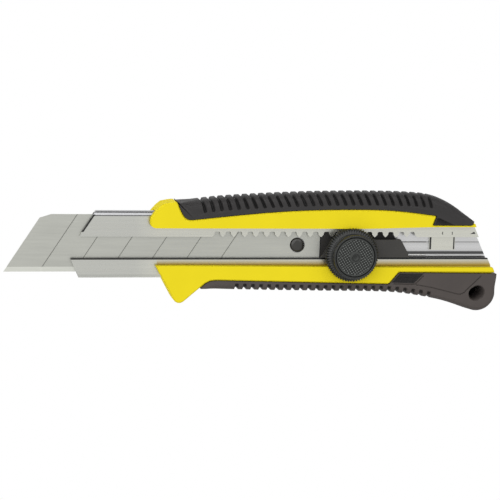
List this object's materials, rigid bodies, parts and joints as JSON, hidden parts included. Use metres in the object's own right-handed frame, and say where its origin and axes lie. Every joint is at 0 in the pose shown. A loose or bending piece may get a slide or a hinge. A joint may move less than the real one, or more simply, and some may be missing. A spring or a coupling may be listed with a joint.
{
  "type": "utility knife",
  "caption": "Heavy-duty snap-off utility knife with a steel sleeve, scored blade, dial-locked slider, ribbed rubber grips and a lanyard hole.",
  "frame": {"origin": "on the handle's flat back face, on the blade's centre line, near the middle of the knife's length", "axes": "+X from the blade's tip to the handle's rear, +Y from the cutting edge to the spine, +Z out of the front, where the dial is"},
  "size_m": [0.2192, 0.053, 0.0215],
  "materials": {
    "yellow_plastic": "semi-gloss moulded",
    "black_rubber": "satin overmould",
    "grey_rubber": "satin overmould",
    "stainless_sheet": "bright brushed",
    "blade_steel": "fine ground",
    "dark_plastic": "satin",
    "dial_plastic": "satin with a glossy neck",
    "brass": "turned",
    "zinc_steel": "zinc plated"
  },
  "bodies": {
    "handle": {"handle_frame": "yellow_plastic", "upper_grip": "black_rubber", "lower_grip": "grey_rubber", "blade_sleeve": "stainless_sheet", "sleeve_screw_front": "zinc_steel", "sleeve_screw_rear": "zinc_steel"},
    "slider": {"blade": "blade_steel", "carrier_plate": "zinc_steel", "blade_stud": "dark_plastic", "slider_block": "dark_plastic", "lock_bolt": "zinc_steel"},
    "lock": {"lock_plate": "zinc_steel", "thrust_washer": "brass"},
    "dial": {"lock_dial": "dial_plastic", "dial_nut": "brass", "dial_cap": "dial_plastic", "retaining_ring": "zinc_steel"}
  },
  "joints": [
    {"name": "slider_slide", "type": "slide", "parent": "handle", "child": "slider", "axis": [1, 0, 0], "range_m": [-0.05373, 0.0342]},
    {"name": "lock_lift", "type": "slide", "parent": "slider", "child": "lock", "axis": [0, 0, 1], "range_m": [-0.0008, 0.0008]},
    {"name": "dial_turn", "type": "hinge", "parent": "lock", "child": "dial", "pos_m": [0.0444, -0.0042, 0.0139], "axis": [0, 0, 1], "range_deg": [-360, 360]}
  ],
  "couplings": [
    {"joint": "lock_lift", "follows": "dial_turn", "m_per_rad": 0.00012732}
  ]
}
